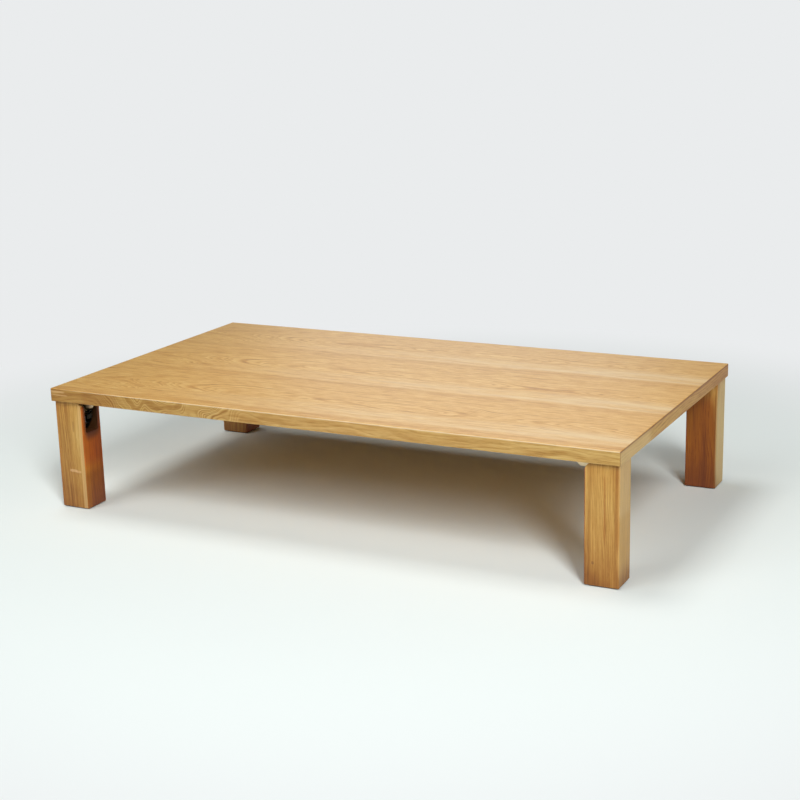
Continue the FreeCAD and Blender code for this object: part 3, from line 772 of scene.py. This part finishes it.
# The gloss sees the wall darken between these heights, but for one lit pool in this direction.
room_from = 1.3
room_whole = 2.3
pool_direction = (-0.374, 0.882, 0.287)
pool_edge = 0.96
pool_core = 0.998
stray_light = 0.015


def sweep_points():
    """A bowl: a flat floor, a quarter round and an upright wall, turned about the table's middle."""
    bend = np.linspace(0, np.pi / 2, bend_rings)[1:]
    reach = np.concatenate([np.linspace(first_ring, floor_reach, floor_rings),
                            floor_reach + wall_round * np.sin(bend), [floor_reach + wall_round]])
    height = np.concatenate([np.zeros(floor_rings), wall_round * (1 - np.cos(bend)), [wall_height]])
    angle = np.linspace(0, 2 * np.pi, sweep_sides, endpoint=False)
    x = reach[:, None] * np.cos(angle)
    y = reach[:, None] * np.sin(angle)
    return np.stack([x, y, height[:, None] + 0 * angle], axis=-1)


def room_tint(tree, place, glossy):
    """The wall's colour. The gloss sees its upper part as the dark room behind the lamps, but for one
    lit pool."""
    facing = add(tree, "ShaderNodeVectorMath", {0: place}, operation="NORMALIZE")
    toward = add(tree, "ShaderNodeVectorMath", {0: facing, 1: pool_direction}, operation="DOT_PRODUCT")
    pool = add(tree, "ShaderNodeMapRange", {"Value": toward.outputs["Value"], "From Min": pool_edge,
                                            "From Max": pool_core}, interpolation_type="SMOOTHSTEP")
    height = add(tree, "ShaderNodeSeparateXYZ", {0: place}).outputs["Z"]
    upper = add(tree, "ShaderNodeMapRange", {"Value": height, "From Min": room_from,
                                             "From Max": room_whole}, interpolation_type="SMOOTHSTEP")
    outside = add(tree, "ShaderNodeMath", {0: 1.0, 1: pool}, operation="SUBTRACT")
    unlit = add(tree, "ShaderNodeMath", {0: upper, 1: outside}, operation="MULTIPLY")
    unlit = add(tree, "ShaderNodeMath", {0: unlit, 1: glossy}, operation="MULTIPLY")
    return add(tree, "ShaderNodeMix", {"Factor": unlit, "A": linear(wall_colour), "B": linear(room_colour)},
               data_type="RGBA").outputs[2]


def paper():
    """Matt studio paper: a diffuse floor, and a far wall that shows its own colour to the camera and the
    gloss, and through glass, but sheds next to no light on the table."""
    material, tree, shader = new_material("studio_paper")
    shader.inputs["Roughness"].default_value = 1
    shader.inputs["Specular IOR Level"].default_value = 0
    shader.inputs["Base Color"].default_value = linear(floor_colour)
    place = add(tree, "ShaderNodeTexCoord").outputs["Object"]
    reach = add(tree, "ShaderNodeVectorMath", {0: place}, operation="LENGTH").outputs["Value"]
    far = add(tree, "ShaderNodeMapRange", {"Value": reach, "From Min": own_colour_from,
                                           "From Max": own_colour_whole}, interpolation_type="SMOOTHSTEP")
    rays = add(tree, "ShaderNodeLightPath")
    seen = add(tree, "ShaderNodeMath", {0: rays.outputs["Is Camera Ray"], 1: rays.outputs["Is Glossy Ray"]},
               operation="MAXIMUM")
    clear = add(tree, "ShaderNodeMath", {0: seen, 1: rays.outputs["Is Transmission Ray"]},
                operation="MAXIMUM")
    strength = add(tree, "ShaderNodeMath", {0: clear, 1: 1 - stray_light, 2: stray_light},
                   operation="MULTIPLY_ADD")
    tint = room_tint(tree, place, rays.outputs["Is Glossy Ray"])
    glow = add(tree, "ShaderNodeEmission", {"Color": tint, "Strength": strength})
    mixed = add(tree, "ShaderNodeMixShader", {0: far, 1: shader.outputs[0], 2: glow})
    tree.links.new(mixed.outputs[0], tree.nodes["Material Output"].inputs["Surface"])
    return material


sweep = grid_mesh("studio_sweep", sweep_points(), caps=(0,))
sweep.data.flip_normals()
sweep.data.materials.append(paper())


# The lights
# Soft boxes, as the photo's overlapping shadows show: two high in front, one overhead and a weak low one
# on the right. One more stands low behind and lays the pale sheen on the right of the top.

def soft_box(name, towards, distance, width, height, watts, colour):
    """A lamp that stands so far from the table's middle, in a direction, and faces it."""
    data = bpy.data.lights.new(name, "AREA")
    data.shape = "RECTANGLE"
    data.size = width
    data.size_y = height
    data.energy = watts
    data.color = linear(colour)[:3]
    lamp = bpy.data.objects.new(name, data)
    lamp.visible_camera = False
    bpy.context.scene.collection.objects.link(lamp)
    way = Vector(towards).normalized()
    turned = way.to_track_quat("Z", "Y").to_matrix().to_4x4()
    lamp.matrix_world = Matrix.Translation(way * distance) @ turned


# Each has its direction, then its distance, width and height in metres, its watts and its colour.
soft_box("front_left_soft_box", (-0.48, -0.99, 1.0), 8.0, 4.2, 7.0, 224, "#fbfeff")
soft_box("front_right_soft_box", (0.87, -1.04, 1.0), 8.0, 1.5, 4.2, 497, "#fdfeff")
soft_box("top_soft_box", (-0.25, 0.05, 1.0), 7.0, 2.6, 2.4, 162, "#fffdf9")
soft_box("side_soft_box", (1.0, -0.30, 0.30), 6.0, 3.0, 3.0, 8, "#fffefa")
soft_box("back_soft_box", (-0.374, 0.882, 0.25), 8.0, 2.8, 1.8, 12, "#ffffff")
world = bpy.data.worlds.new("studio_world")
world.use_nodes = True
world.node_tree.nodes["Background"].inputs["Color"].default_value = linear("#ffffff")
world.node_tree.nodes["Background"].inputs["Strength"].default_value = stray_light
bpy.context.scene.world = world
bpy.context.scene.view_settings.view_transform = "Standard"


# The camera
# It stands in front of the table's right half, a little above eye height of someone kneeling, with a
# longer lens than a normal one. Its place, turn and lens come from the corners measured in the photo.

photo_width = 800
photo_focal_px = 1559.151
sensor_mm = 36.0
camera_place = Vector((1.756957, -3.417319, 1.258704))
camera_yaw = 0.470363
camera_pitch = 0.256586
camera_roll = -0.025516

camera_data = bpy.data.cameras.new("camera")
camera_data.sensor_width = sensor_mm
camera_data.lens = photo_focal_px / photo_width * sensor_mm
camera = bpy.data.objects.new("camera", camera_data)
bpy.context.scene.collection.objects.link(camera)
ahead = Vector((-math.sin(camera_yaw) * math.cos(camera_pitch),
                math.cos(camera_yaw) * math.cos(camera_pitch),
                -math.sin(camera_pitch)))
level_right = Vector((math.cos(camera_yaw), math.sin(camera_yaw), 0))
right = Matrix.Rotation(-camera_roll, 3, ahead) @ level_right
turn = Matrix((right, right.cross(ahead), -ahead)).transposed()
camera.matrix_world = Matrix.Translation(camera_place) @ turn.to_4x4()
bpy.context.scene.camera = camera
